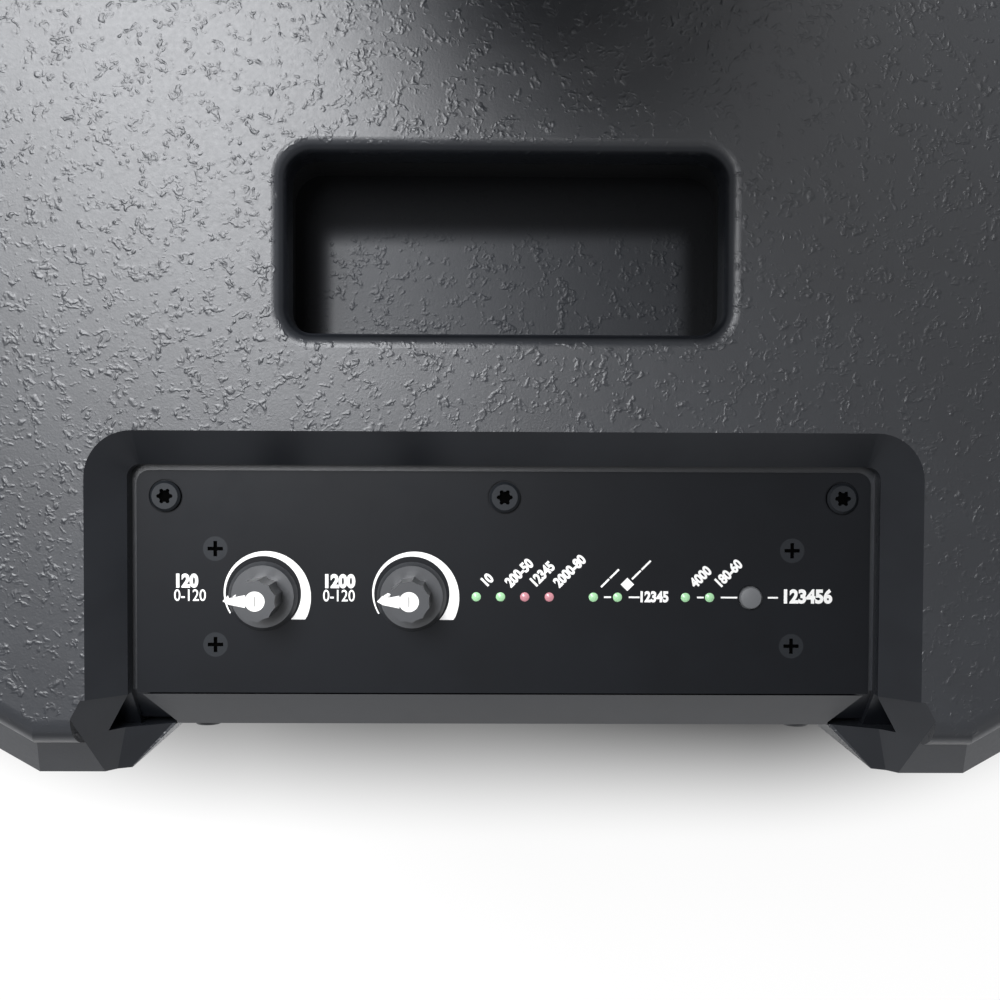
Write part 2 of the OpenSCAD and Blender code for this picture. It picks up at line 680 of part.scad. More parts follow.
module magnet() color([0.15, 0.15, 0.15]) at_front() translate([0, 0, basket_deep + 8]) difference() {
  cylinder(h = magnet_h, r = magnet_r, $fn = 96);
  translate([0, 0, -1]) cylinder(h = magnet_h + 2, r = coil_r + 5, $fn = 96);
}

module yoke() color([0.5, 0.5, 0.52]) at_front() translate([0, 0, basket_deep + 8 + magnet_h]) difference() {
  union() {
    cylinder(h = 8, r = magnet_r - 3, $fn = 96);
    translate([0, 0, -magnet_h - 8]) cylinder(h = magnet_h + 9, r = coil_r - 0.5 - play, $fn = 96);
  }
  translate([0, 0, -magnet_h - 9]) cylinder(h = magnet_h + 19, r = 8, $fn = 48);
}

module woofer_terminals() color([0.75, 0.6, 0.2]) at_front()
  translate([0, 4 - magnet_r - play - 6, basket_deep + 0.5]) {
    translate([-12, 0, 0]) cube([24, 6, 7]);
    for (x = [-8, 5]) translate([x, -6, 1]) cube([3, 7, 5]);
  }

module woofer_screws() color([0.15, 0.15, 0.15]) woofer_screw_places() cross_screw(baffle_t - 1);

module port_places() for (x = [-1, 1])
  translate([x * port_x, baffle_y, port_z]) rotate([-90, 0, 0]) children();

module port_tubes() color([0.07, 0.07, 0.07]) port_places() rotate_extrude($fn = 96) difference() {
  union() {
    translate([port_r, 0]) square([port_wall, port_len]);
    translate([port_r, 0]) square([port_flange, port_wall]);
  }
  difference() {
    translate([port_r - 1, -1]) square([port_lip + 1, port_lip + 1]);
    translate([port_r + port_lip, port_lip]) circle(port_lip, $fn = 48);
  }
}

// ---------- plates and controls on the top ----------

module control_plate() color([0.11, 0.11, 0.12]) difference() {
  r = 4.4;
  depth = fold_y - notch_y - plate_gap;
  translate([0, notch_y + plate_gap + depth / 2, under_z - plate_t]) linear_extrude(plate_t) {
    rounded(2 * plate_half, depth, r);
    translate([-plate_half, 0]) square([2 * plate_half, depth / 2]);
  }
  for (x = knob_x) translate([x, row_y, under_z]) cylinder(h = 20, r = bush_r + fit, center = true, $fn = 48);
  for (x = concat(green_x, red_x)) translate([x, row_y, under_z])
    cylinder(h = 20, r = lamp_r + fit, center = true, $fn = 48);
  translate([button_x, row_y, under_z]) cylinder(h = 20, r = button_r + play, center = true, $fn = 64);
  for (x = [-torx_x, 0, torx_x]) translate([x, rear_y - torx_back, under_z]) {
    cylinder(h = 20, r = torx_shaft_r + fit, center = true, $fn = 32);
    translate([0, 0, -0.6]) cylinder(h = 2, r = torx_head_r + 0.5, $fn = 64);
  }
  board_screw_places() rotate([180, 0, 0]) cross_hole();
}

module board_screw_places() for (x = [-1, 1], y = cross_back)
  translate([x * cross_x, rear_y - y, under_z]) children();

module board_screws() color([0.2, 0.2, 0.21])
  board_screw_places() rotate([180, 0, 0]) cross_screw(board_drop - 1);

// Cutter for a body of that width and height with a clearance all round
module window(size, gap) translate([0, 0, -2 * plate_t]) linear_extrude(4 * plate_t)
  square([size[0] + 2 * gap, size[1] + 2 * gap], center = true);

// Sheet that follows the rear edge: a sloping lip, then the upright plate
module rear_plate() color([0.11, 0.11, 0.12]) difference() {
  t = plate_t;
  k = t * bend;
  a = plate_half - 1;
  intersection() {
    rotate([90, 0, 90]) linear_extrude(2 * plate_half, center = true) polygon([
      [fold_y + seam, under_z - seam], [rear_in, fold_z], [rear_in, plate_low],
      [rear_in - t, plate_low], [rear_in - t, fold_z - k], [fold_y + seam, under_z - seam - t * sqrt(2)]
    ]);
    rotate([90, 0, 0]) linear_extrude(big, center = true) polygon([
      [-rear_half, plate_low], [rear_half, plate_low], [rear_half, fold_z + 1], [a, under_z],
      [-a, under_z], [-rear_half, fold_z + 1]
    ]);
  }
  for (x = [-1, 1], z = rear_screw_z) at_rear(x * rear_screw_x, z) {
    cylinder(h = 20, r = torx_shaft_r + fit, center = true, $fn = 32);
  }
  for (k = [0 : 3]) at_rear(rear_x(k), rear_knob_z)
    cylinder(h = 20, r = bush_r + fit, center = true, $fn = 48);
  for (k = [0 : 3]) at_rear(rear_x(k), socket_z)
    cylinder(h = 20, r = socket_r + fit, center = true, $fn = 64);
  for (k = [0, 1]) at_rear(rear_x(k + 1), speaker_z)
    cylinder(h = 20, r = socket_r + fit, center = true, $fn = 64);
  at_rear(mains_x, mains_z) window(mains_body, fit);
  at_rear(mains_x, fuse_z) window(fuse_body, fit);
  at_rear(rocker_x, mains_z) window(rocker_body, fit);
}

module plate_screws() color([0.16, 0.16, 0.17]) {
  for (x = [-torx_x, 0, torx_x]) translate([x, rear_y - torx_back, under_z - 0.6]) torx_screw();
  for (x = [-1, 1], z = rear_screw_z) at_rear(x * rear_screw_x, z) torx_screw();
}

module lamp() {
  translate([0, 0, -plate_t - board_drop]) cylinder(h = plate_t + board_drop, r = lamp_r, $fn = 48);
  intersection() {
    translate([0, 0, -2]) sphere(2.6, $fn = 48);
    cylinder(h = 2, r = lamp_r, $fn = 48);
  }
}

module green_lamps() color([0.55, 0.95, 0.5]) for (x = green_x) translate([x, row_y, under_z]) lamp();
module red_lamps() color([0.95, 0.4, 0.45]) for (x = red_x) translate([x, row_y, under_z]) lamp();

module control_board() color([0.05, 0.3, 0.12]) difference() {
  union() {
    box(-cross_x - 5, cross_x + 5, notch_y + 22, fold_y - 8, board_z - board_t, board_z);
    board_screw_places() translate([0, 0, -plate_t - board_drop]) cylinder(h = board_drop, r = 3.5, $fn = 32);
  }
  board_screw_places() cylinder(h = 60, r = cross_shaft_r + fit, center = true, $fn = 32);
}

module pot(body_h) difference() {
  union() {
    translate([-8, -9, -plate_t - body_h]) cube([16, 18, body_h]);
    translate([0, 0, -plate_t - 1]) cylinder(h = plate_t + 1, r = bush_r, $fn = 48);
  }
  translate([0, 0, -plate_t - body_h + 2]) cylinder(h = 40, r = shaft_r + shaft_fit, $fn = 48);
}

module potentiometers() color([0.5, 0.5, 0.52]) for (x = knob_x) translate([x, row_y, under_z]) pot(pot_h);

// Fluted knob on a skirt, with its shaft below
module level_knob(r, skirt, h, shaft) {
  translate([0, 0, 0.4]) cylinder(h = skirt_h, r1 = skirt + 1.2, r2 = skirt, $fn = 96);
  intersection() {
    translate([0, 0, 1.4]) cylinder(h = h - 1.4, r1 = r, r2 = r - 0.6, $fn = 96);
    translate([0, 0, 1]) linear_extrude(h) difference() {
      circle(r + 1, $fn = 96);
      for (k = [0 : 10]) rotate(360 / 11 * (k + 0.5)) translate([r + 6.9, 0]) circle(8, $fn = 64);
    }
  }
  translate([0, 0, -shaft]) cylinder(h = shaft + 1, r = shaft_r, $fn = 48);
}

// Round hub in the top, a wedge towards +X that folds down the side, and an arrow tip on the skirt
module pointer_shape(r, skirt, h) {
  translate([0, 0, h - 0.8]) cylinder(h = 0.8, r = r * 0.43, $fn = 48);
  translate([0, 0, h - 0.8]) linear_extrude(0.8)
    polygon([[0, -2], [r - 0.2, -pointer_end], [r - 0.2, pointer_end], [0, 2]]);
  translate([r - 1.4, -pointer_end, skirt_h]) cube([1.2, 2 * pointer_end, h - skirt_h]);
  translate([0, 0, skirt_h]) linear_extrude(0.4)
    polygon([[r - 1, -pointer_end], [r + 0.4, -1.3], [skirt - 0.5, 0], [r + 0.4, 1.3], [r - 1, pointer_end]]);
}

module top_knob(x) translate([x, row_y, under_z]) difference() {
  level_knob(knob_r, skirt_r, knob_h, plate_t + pot_h - 3);
  pointer_shape(knob_r, skirt_r, knob_h);
}

module top_pointer(x) translate([x, row_y, under_z]) pointer_shape(knob_r, skirt_r, knob_h);

module sub_knob() color([0.3, 0.3, 0.31]) top_knob(knob_x[0]);
module sub_knob_pointer() color([0.95, 0.95, 0.95]) top_pointer(knob_x[0]);
module main_knob() color([0.3, 0.3, 0.31]) top_knob(knob_x[1]);
module main_knob_pointer() color([0.95, 0.95, 0.95]) top_pointer(knob_x[1]);

module system_button() color([0.35, 0.35, 0.36]) translate([button_x, row_y, under_z]) {
  translate([0, 0, -plate_t - 1.2]) cylinder(h = plate_t + 1.2 + button_up - 0.4, r = button_r, $fn = 64);
  translate([0, 0, button_up - 0.4]) cylinder(h = 0.4, r1 = button_r, r2 = button_r - 0.4, $fn = 64);
  translate([0, 0, -plate_t - 1.2]) cylinder(h = 1, r = button_r + 1.2, $fn = 64);
}

module button_switch() color([0.2, 0.2, 0.2]) translate([button_x, row_y, board_z]) {
  translate([-6, -6, 0]) cube([12, 12, 4]);
  cylinder(h = board_drop - 1.2 - button_travel - 0.15, r = 1.8, $fn = 32);
}

// ---------- rear plate ----------

function rear_x(k) = (1.5 - k) * rear_pitch;

module rear_knob(k) at_rear(rear_x(k), rear_knob_z) {
  level_knob(rear_knob_r, rear_knob_r + 1.6, rear_knob_h, plate_t + 5);
  translate([-0.5, -rear_knob_r + 1, rear_knob_h - 0.4]) cube([1, rear_knob_r - 2, 0.8]);
}

module channel_1_knob() color([0.3, 0.3, 0.31]) rear_knob(0);
module channel_2_knob() color([0.3, 0.3, 0.31]) rear_knob(1);
module channel_3_knob() color([0.3, 0.3, 0.31]) rear_knob(2);
module channel_4_knob() color([0.3, 0.3, 0.31]) rear_knob(3);

module rear_potentiometers() color([0.5, 0.5, 0.52]) for (k = [0 : 3])
  at_rear(rear_x(k), rear_knob_z) pot(9);

// Square-cornered flange with a round housing behind it, open to the front
module socket_body(bore, deep) difference() {
  union() {
    linear_extrude(2) rounded(2 * socket_r + 2, 2 * socket_r + 7, 3);
    translate([0, 0, -deep - 3]) cylinder(h = deep + 3, r = socket_r, $fn = 64);
  }
  translate([0, 0, -deep]) cylinder(h = deep + 3, r = bore, $fn = 64);
}

module combo_sockets() color([0.12, 0.12, 0.13]) for (k = [0, 1]) at_rear(rear_x(k), socket_z) difference() {
  socket_body(socket_r - 2.2, socket_deep);
  translate([0, 0, -30]) cylinder(h = 30, r = 3.3, $fn = 48);
  for (a = [90, 210, 330]) rotate([0, 0, a]) translate([6.6, 0, -30]) cylinder(h = 30, r = 1.3, $fn = 32);
}

module line_out_sockets() color([0.12, 0.12, 0.13]) for (k = [2, 3]) at_rear(rear_x(k), socket_z) {
  socket_body(socket_r - 2.6, socket_deep);
  for (a = [90, 210, 330]) rotate([0, 0, a]) translate([6, 0, -socket_deep - 0.5])
    cylinder(h = 11, r = 1.2, $fn = 32);
}

module speaker_sockets() color([0.12, 0.12, 0.13]) for (k = [0, 1]) at_rear(rear_x(k + 1), speaker_z) {
  socket_body(socket_r - 1, socket_deep);
  translate([0, 0, -socket_deep - 0.5]) difference() {
    cylinder(h = socket_deep - 0.5, r = socket_r / 2, $fn = 48);
    translate([0, 0, 2]) cylinder(h = socket_deep, r = socket_r / 2 - 2, $fn = 48);
  }
}

module mains_inlet() color([0.06, 0.06, 0.06]) at_rear(mains_x, mains_z) {
  difference() {
    union() {
      translate([0, (mains_z - fuse_z) / 2 + 1, 0])
        linear_extrude(2) rounded(mains_body[0] + 4, mains_body[1] + 30, 3);
      translate([0, 0, -mains_deep]) linear_extrude(mains_deep) square(mains_body, center = true);
    }
    translate([0, 0, 4 - mains_deep])
      linear_extrude(mains_deep) rounded(mains_body[0] - 4, mains_body[1] - 7.5, 3);
    translate([0, mains_z - fuse_z, 0]) window(fuse_body, play);
  }
  for (x = [-7, 0, 7]) translate([x - 2, -3 + (x == 0 ? 4 : -1), 3.5 - mains_deep])
    cube([4, 2, mains_deep - 6]);
}

module fuse_drawer() color([0.1, 0.1, 0.1]) at_rear(mains_x, fuse_z) {
  translate([0, 0, -fuse_deep]) linear_extrude(fuse_deep + 2.5)
    rounded(fuse_body[0] - 2 * play, fuse_body[1] - 2 * play, 1);
}

module rocker_housing() color([0.06, 0.06, 0.06]) at_rear(rocker_x, mains_z) difference() {
  union() {
    linear_extrude(2) rounded(rocker_body[0] + 4, rocker_body[1] + 4, 2);
    translate([0, 0, -18]) linear_extrude(18) square(rocker_body, center = true);
  }
  translate([0, 0, -14]) linear_extrude(20) square([rocker_body[0] - 4, rocker_body[1] - 4], center = true);
  translate([0, 0, -rocker_deep]) rotate([0, 90, 0])
    cylinder(h = rocker_body[0] - 1.4, r = rocker_pin_r + shaft_fit, center = true, $fn = 32);
}

// Rocker with two pads and a pivot pin, its upper pad pressed in
module power_rocker() color([0.12, 0.12, 0.12]) at_rear(rocker_x, mains_z) translate([0, 0, -rocker_deep]) {
  reach = rocker_body[1] / 2 - 3.3;
  rotate([rocker_tilt, 0, 0]) rotate([90, 0, 90]) linear_extrude(rocker_body[0] - 5, center = true)
    polygon([[-reach, 6.2], [0, 4.6], [reach, 6.2], [reach - 0.5, 1], [4, -4], [-4, -4], [0.5 - reach, 1]]);
  rotate([0, 90, 0]) cylinder(h = rocker_body[0] - 2, r = rocker_pin_r, center = true, $fn = 32);
}

module heat_sink() color([0.13, 0.13, 0.14]) at_rear(0, (sink_z[0] + sink_z[1]) / 2) {
  tall = sink_z[1] - sink_z[0];
  linear_extrude(3) rounded(sink_w, tall, 2);
  for (k = [0 : fin_count - 1])
    translate([(k / (fin_count - 1) - 0.5) * (sink_w - 3) - 1, -tall / 2 + 2, 2.5])
    cube([2, tall - 4, 9.5]);
}

module amplifier_board() color([0.05, 0.3, 0.12]) {
  low = plate_low + 18;
  face = rear_in - plate_t;
  box(-rear_half + 22, rear_half - 22, face - amp_gap, face - amp_gap + board_t, low, speaker_z - 16);
  for (x = [-1, 1], z = [low + 6, speaker_z - 22])
    translate([x * (rear_half - 28), face, z]) rotate([90, 0, 0])
      cylinder(h = amp_gap - board_t / 2, r = 3, $fn = 32);
}

module capacitors() color([0.1, 0.12, 0.3]) for (x = [-48, -16, 16, 48])
  translate([x, rear_in - plate_t - amp_gap, (mains_z + speaker_z) / 2])
    rotate([90, 0, 0]) cylinder(h = 36, r = 12.5, $fn = 64);

top_panel();
bottom_panel();
left_side_panel();
right_side_panel();
rear_panel();
baffle();
window_brace();
plate_frame();
handle_tray();
wadding();
pole_socket();
pole_socket_screws();
feet();
foot_screws();
grille();
grille_foam();
grille_spacers();
grille_screws();
woofer_basket();
woofer_surround();
woofer_cone();
dust_cap();
spider();
voice_coil();
top_plate();
magnet();
yoke();
woofer_terminals();
woofer_screws();
port_tubes();
control_plate();
rear_plate();
plate_screws();
board_screws();
green_lamps();
red_lamps();
control_board();
potentiometers();
system_button();
button_switch();
sub_knob();
sub_knob_pointer();
main_knob();
main_knob_pointer();
channel_1_knob();
channel_2_knob();
channel_3_knob();
channel_4_knob();
rear_potentiometers();
combo_sockets();
line_out_sockets();
speaker_sockets();
mains_inlet();
fuse_drawer();
rocker_housing();
power_rocker();
heat_sink();
amplifier_board();
capacitors();
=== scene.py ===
import json
import math

import bpy
from mathutils import Matrix, Vector


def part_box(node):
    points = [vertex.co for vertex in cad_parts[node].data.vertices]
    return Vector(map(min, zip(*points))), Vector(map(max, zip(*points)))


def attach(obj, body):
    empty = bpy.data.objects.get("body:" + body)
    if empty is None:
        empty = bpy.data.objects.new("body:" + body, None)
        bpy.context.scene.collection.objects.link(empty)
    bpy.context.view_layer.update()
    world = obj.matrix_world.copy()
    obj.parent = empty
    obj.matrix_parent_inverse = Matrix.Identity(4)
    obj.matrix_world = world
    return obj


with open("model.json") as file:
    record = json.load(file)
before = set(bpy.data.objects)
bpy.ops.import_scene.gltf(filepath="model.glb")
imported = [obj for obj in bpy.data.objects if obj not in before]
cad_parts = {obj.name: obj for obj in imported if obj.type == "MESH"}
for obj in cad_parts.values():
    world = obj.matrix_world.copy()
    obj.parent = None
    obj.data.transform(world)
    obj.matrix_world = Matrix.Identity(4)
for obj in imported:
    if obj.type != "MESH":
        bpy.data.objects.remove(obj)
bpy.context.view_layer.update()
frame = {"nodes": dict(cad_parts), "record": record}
scene = bpy.context.scene
nodes = frame["nodes"]
mm = 0.001
print("frame loaded:", len(nodes), "nodes")


class Wire:  # a node's output that takes part in arithmetic
    def __init__(self, finish, socket):
        self.finish, self.socket = finish, socket

    def math(self, operation, first, second=0.0):
        return self.finish.node("ShaderNodeMath", {"operation": operation}, {0: first, 1: second})

    def __add__(self, other):
        return self.math("ADD", self, other)

    def __radd__(self, other):
        return self.math("ADD", other, self)

    def __sub__(self, other):
        return self.math("SUBTRACT", self, other)

    def __rsub__(self, other):
        return self.math("SUBTRACT", other, self)

    def __mul__(self, other):
        return self.math("MULTIPLY", self, other)

    def __rmul__(self, other):
        return self.math("MULTIPLY", other, self)

    def __truediv__(self, other):
        return self.math("DIVIDE", self, other)

    def __pow__(self, other):
        return self.math("POWER", self, other)

    def __abs__(self):
        return self.math("ABSOLUTE", self)

    def larger(self, other):
        return self.math("MAXIMUM", self, other)

    def smaller(self, other):
        return self.math("MINIMUM", self, other)

    def fade(self, low, high, start=0.0, end=1.0):  # smooth step between two values
        return self.finish.node("ShaderNodeMapRange", {"interpolation_type": "SMOOTHSTEP"},
                                {"Value": self, "From Min": low, "From Max": high,
                                 "To Min": start, "To Max": end})


class Graph:  # the node tree of a material or of the world
    def __init__(self, owner):
        owner.use_nodes = True
        self.tree = owner.node_tree
        self.tree.nodes.clear()

    def node(self, kind, settings, sockets, output=0):
        made = self.tree.nodes.new(kind)
        for name, value in settings.items():
            setattr(made, name, value)
        for name, value in sockets.items():
            self.feed(made.inputs[name], value)
        return Wire(self, made.outputs[output])

    def feed(self, socket, value):
        if isinstance(value, Wire):
            self.tree.links.new(value.socket, socket)
        elif socket.type == "RGBA":
            socket.default_value = (*value, 1.0)
        else:
            socket.default_value = value

    def rays(self, kind):
        return self.node("ShaderNodeLightPath", {}, {}, kind)


class Finish(Graph):  # one procedural material, in millimetres of the object's own space
    def __init__(self, name, shader="ShaderNodeBsdfPrincipled"):
        self.material = bpy.data.materials.new(name)
        super().__init__(self.material)
        self.output = self.tree.nodes.new("ShaderNodeOutputMaterial")
        self.shader = None
        if shader:
            self.shader = self.tree.nodes.new(shader)
            self.tree.links.new(self.shader.outputs[0], self.output.inputs["Surface"])
        self.facing = self.node("ShaderNodeTexCoord", {}, {}, "Normal")
        self.place = self.vector("SCALE", self.node("ShaderNodeTexCoord", {}, {}, "Object"), scale=1000.0)

    def vector(self, operation, first, second=None, scale=None):
        sockets = {0: first}
        if second is not None:
            sockets[1] = second
        if scale is not None:
            sockets[3] = scale
        return self.node("ShaderNodeVectorMath", {"operation": operation}, sockets)

    def blend(self, factor, first, second):  # two colours
        return self.node("ShaderNodeMix", {"data_type": "RGBA"}, {0: factor, 6: first, 7: second}, 2)

    def noise(self, size, detail=2.0, rough=0.5, place=None, warp=0.0):  # size of its features in mm
        return self.node("ShaderNodeTexNoise", {}, {"Vector": place or self.place, "Scale": 1.0 / size,
                         "Detail": detail, "Roughness": rough, "Distortion": warp})

    def cells(self, size, feature="F1"):
        return self.node("ShaderNodeTexVoronoi", {"feature": feature},
                         {"Vector": self.place, "Scale": 1.0 / size})

    def parts(self, vector):
        split = self.tree.nodes.new("ShaderNodeSeparateXYZ")
        self.tree.links.new(vector.socket, split.inputs[0])
        return [Wire(self, out) for out in split.outputs]

    def bump(self, height):  # height in mm
        return self.node("ShaderNodeBump", {}, {"Height": height, "Strength": 1.0, "Distance": mm})

    def surface(self, **values):
        names = {"colour": "Base Color", "rough": "Roughness", "metal": "Metallic", "normal": "Normal",
                 "gloss": "Specular IOR Level", "tint": "Specular Tint", "sheen": "Sheen Weight",
                 "glow": "Emission Strength", "glowColour": "Emission Color"}
        for name, value in {"tint": (0.965, 0.975, 1.0), **values}.items():
            self.feed(self.shader.inputs[names[name]], value)
        return self.material


sprayed = {"blobSize": 1.75, "blobHigh": 0.54, "groupSize": 5.2, "cover": (0.48, 0.60), "speckHigh": 0.05,
           "grainSize": 0.7, "grainHigh": 0.036, "swellSize": 14.0, "swellHigh": 0.04,
           "dark": (0.0080, 0.0093, 0.0125), "light": (0.0110, 0.0128, 0.0165), "rough": 0.37,
           "slopeMetal": 0.50, "gloss": 0.45}


def sprayedCoat(name="sprayedCoat", blobby=1.0):  # tough sprayed coat: groups of small blobs on a fine grain
    f = Finish(name)
    x, y, z = f.parts(f.vector("ABSOLUTE", f.facing))
    flat = x.larger(y).larger(z).fade(0.80, 0.93)  # bevels and slopes stay smooth
    drift = f.node("ShaderNodeTexNoise", {}, {"Vector": f.place, "Scale": 0.22, "Detail": 1.0}, "Color")
    pull = f.vector("SCALE", f.vector("SUBTRACT", drift, (0.5, 0.5, 0.5)), scale=3.0)
    warped = f.vector("ADD", f.place, pull)
    blobs = (f.noise(sprayed["blobSize"], 1.3, 0.45, warped) - 0.46).larger(0.0) * sprayed["blobHigh"]
    groups = f.noise(sprayed["groupSize"], 2.0, 0.6, f.vector("ADD", warped, (31.0, 7.0, 13.0)))
    specks = (1.0 - f.cells(3.1).fade(0.06, 0.22)) * f.noise(5.5, 0.0).fade(0.48, 0.58)
    grain = f.noise(sprayed["grainSize"], 3.0, 0.65) * sprayed["grainHigh"]
    swell = f.noise(sprayed["swellSize"], 1.0) * sprayed["swellHigh"]
    raised = (blobs * groups.fade(*sprayed["cover"])).larger(specks * sprayed["speckHigh"])
    raised = raised * (flat * 0.96 + 0.04) * blobby
    height = raised + grain * (flat * 0.7 + 0.3) + swell
    tone = f.noise(22.0, 2.0).fade(0.3, 0.7)
    return f.surface(colour=f.blend(tone, sprayed["dark"], sprayed["light"]),
                     rough=sprayed["rough"] + (f.noise(1.4, 2.0) - 0.5) * 0.10,
                     metal=(1.0 - flat) * sprayed["slopeMetal"],  # dims the reflections on slopes
                     normal=f.bump(height), gloss=sprayed["gloss"])


tray = {"wall": 4.0, "side": (6.0, 14.0), "front": (15.0, 25.0), "wallShade": (0.0022, 0.0026, 0.0034),
        "rough": 0.9, "worn": 0.40, "rise": 0.06, "gloss": 0.22}


def trayCoat(name="trayCoat"):  # the same coat in the grip recess, rough and with painted shade darkening it close to its walls
    f = Finish(name)
    low, high = (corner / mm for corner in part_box("handle_tray"))
    x, y, z = f.parts(f.place)
    inside = (high.x - low.x) / 2 - tray["wall"] - abs(x - (low.x + high.x) / 2)
    # 1 where the recess floor is clear of the painted shade near its walls
    clear = inside.fade(*tray["side"]) * (y - low.y - tray["wall"]).fade(*tray["front"])
    rise = (y - low.y - tray["wall"]).fade(tray["front"][1], high.y - low.y)
    blobs = (f.noise(sprayed["blobSize"], 1.3, 0.45) - 0.46).larger(0.0) * sprayed["blobHigh"]
    groups = f.noise(sprayed["groupSize"], 2.0, 0.6, f.vector("ADD", f.place, (31.0, 7.0, 13.0)))
    grain = f.noise(sprayed["grainSize"], 3.0, 0.65) * sprayed["grainHigh"]
    height = blobs * groups.fade(*sprayed["cover"]) * 0.8 + grain
    return f.surface(colour=f.blend(clear, tray["wallShade"], sprayed["light"]),
                     rough=tray["rough"] - clear * (tray["rough"] - tray["worn"]) - rise * tray["rise"],
                     normal=f.bump(height), gloss=tray["gloss"])


powder = {"dark": (0.0066, 0.0078, 0.0108), "light": (0.0086, 0.0102, 0.0140), "rough": 0.42, "high": 0.008}


def powderPaint(name, rough=powder["rough"], high=powder["high"], gloss=0.5, deep=1.0):
    f = Finish(name)  # satin powder coat on steel
    dark, light = (tuple(deep * c for c in powder[shade]) for shade in ("dark", "light"))
    tone = f.noise(30.0, 2.0).fade(0.3, 0.7)
    grain = f.noise(0.35, 2.0, 0.6) * high
    rub = f.noise(9.0, 4.0, 0.7).fade(0.45, 0.75)
    return f.surface(colour=f.blend(tone, dark, light), rough=rough + rub * 0.05,
                     normal=f.bump(grain), gloss=gloss)


def blackPlastic(name, colour, rough, grainHigh=0.012, grainSize=0.5):  # moulded, with a fine spark texture
    f = Finish(name)
    spark = f.noise(grainSize, 2.0, 0.7)
    cloud = f.noise(12.0, 2.0).fade(0.3, 0.7)
    deep = tuple(0.82 * c for c in colour)
    return f.surface(colour=f.blend(cloud, deep, colour), rough=rough + (spark - 0.5) * 0.08,
                     normal=f.bump(spark * grainHigh))


button = {"colour": (0.092, 0.096, 0.103), "rim": (0.045, 0.048, 0.052), "crown": 0.45, "rough": 0.36}


def buttonCap(name="buttonCap"):  # satin moulded cap, slightly crowned, with painted shade darkening its rim
    f = Finish(name)
    low, high = (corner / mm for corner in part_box("system_button"))
    x, y, z = f.parts(f.place)
    radius = (high.x - low.x) / 2
    out = (((x - (low.x + high.x) / 2) ** 2.0 + (y - (low.y + high.y) / 2) ** 2.0) ** 0.5) / radius
    spark = f.noise(0.5, 2.0, 0.7)
    return f.surface(colour=f.blend(out.fade(0.80, 1.0), button["colour"], button["rim"]),
                     rough=button["rough"] + (spark - 0.5) * 0.08,
                     normal=f.bump(out * out * -button["crown"] + spark * 0.005))


def turnedMetal(name, colour, rough, metal=1.0, scratch=0.004):  # machined or plated metal with fine marks
    f = Finish(name)
    stretched = f.vector("MULTIPLY", f.place, (1.0, 1.0, 6.0))
    marks = f.noise(0.4, 3.0, 0.7, stretched)
    patina = f.noise(5.0, 3.0, 0.6).fade(0.35, 0.7)
    dull = tuple(0.72 * c for c in colour)
    return f.surface(colour=f.blend(patina, dull, colour), rough=rough + marks * 0.12, metal=metal,
                     normal=f.bump(marks * scratch))


def blackedScrew(name="blackedScrew", node=None, sunk=(0.35, 0.75)):  # black head, its recess painted near black as shade
    f = Finish(name)
    if node:  # the recess, which is painted near black as shade, is what lies below the outer planes of the heads
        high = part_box(node)[1] / mm
        x, y, z = f.parts(f.place)
        clearOfShade = (high.z - z).smaller(high.y - y).fade(*sunk, 1.0, 0.0)
    else:
        # painted shade from ambient occlusion in the head's recess
        shade = f.node("ShaderNodeAmbientOcclusion", {"samples": 8}, {"Distance": 1.6 * mm}, 1)
        clearOfShade = shade.fade(0.55, 0.92)
    marks = f.noise(0.4, 3.0, 0.7)
    wear = f.noise(2.0, 3.0, 0.6).fade(0.45, 0.7)
    return f.surface(colour=f.blend(clearOfShade, (0.0004, 0.0004, 0.0004), (0.009, 0.0105, 0.013)),
                     rough=0.75 - clearOfShade * 0.37 + marks * 0.12 + wear * 0.05,
                     metal=0.9 - clearOfShade * 0.75, gloss=0.17, normal=f.bump(marks * 0.006))


def castMetal(name="castMetal"):
    f = Finish(name)
    skin = f.noise(1.1, 3.0, 0.6)
    pits = 1.0 - f.cells(2.2).fade(0.05, 0.22)
    tone = f.noise(16.0, 2.0).fade(0.3, 0.7)
    return f.surface(colour=f.blend(tone, (0.020, 0.020, 0.022), (0.034, 0.034, 0.037)),
                     rough=0.48 + (skin - 0.5) * 0.15, metal=0.2, normal=f.bump(skin * 0.05 - pits * 0.03))


def plywood(name="plywood"):
    f = Finish(name)
    x, y, z = f.parts(f.place)
    layers = f.node("ShaderNodeMath", {"operation": "PINGPONG"}, {0: z + f.noise(8.0) * 0.3, 1: 1.25}) / 1.25
    fibre = f.noise(0.7, 3.0, 0.7, f.vector("MULTIPLY", f.place, (0.12, 1.0, 1.0)))
    pale = f.blend(fibre.fade(0.3, 0.7), (0.36, 0.25, 0.13), (0.50, 0.37, 0.21))
    return f.surface(colour=f.blend(layers.fade(0.4, 0.6) * 0.5, pale, (0.24, 0.15, 0.075)),
                     rough=0.62 + fibre * 0.15, normal=f.bump(fibre * 0.06))


def wadding(name="wadding"):
    f = Finish(name)
    fibre = f.noise(1.6, 5.0, 0.75, warp=2.5)
    tuft = f.noise(9.0, 2.0)
    return f.surface(colour=f.blend(tuft, (0.55, 0.55, 0.52), (0.78, 0.78, 0.74)), rough=0.95,
                     normal=f.bump(fibre * 0.9 + tuft * 1.6), sheen=0.4)


def rubber(name, colour=(0.014, 0.014, 0.015), rough=0.72):
    f = Finish(name)
    dust = f.noise(3.0, 4.0, 0.7).fade(0.5, 0.8)
    skin = f.noise(0.6, 2.0, 0.6)
    return f.surface(colour=f.blend(dust * 0.5, colour, (0.04, 0.04, 0.041)),
                     rough=rough + (skin - 0.5) * 0.12, normal=f.bump(skin * 0.03))


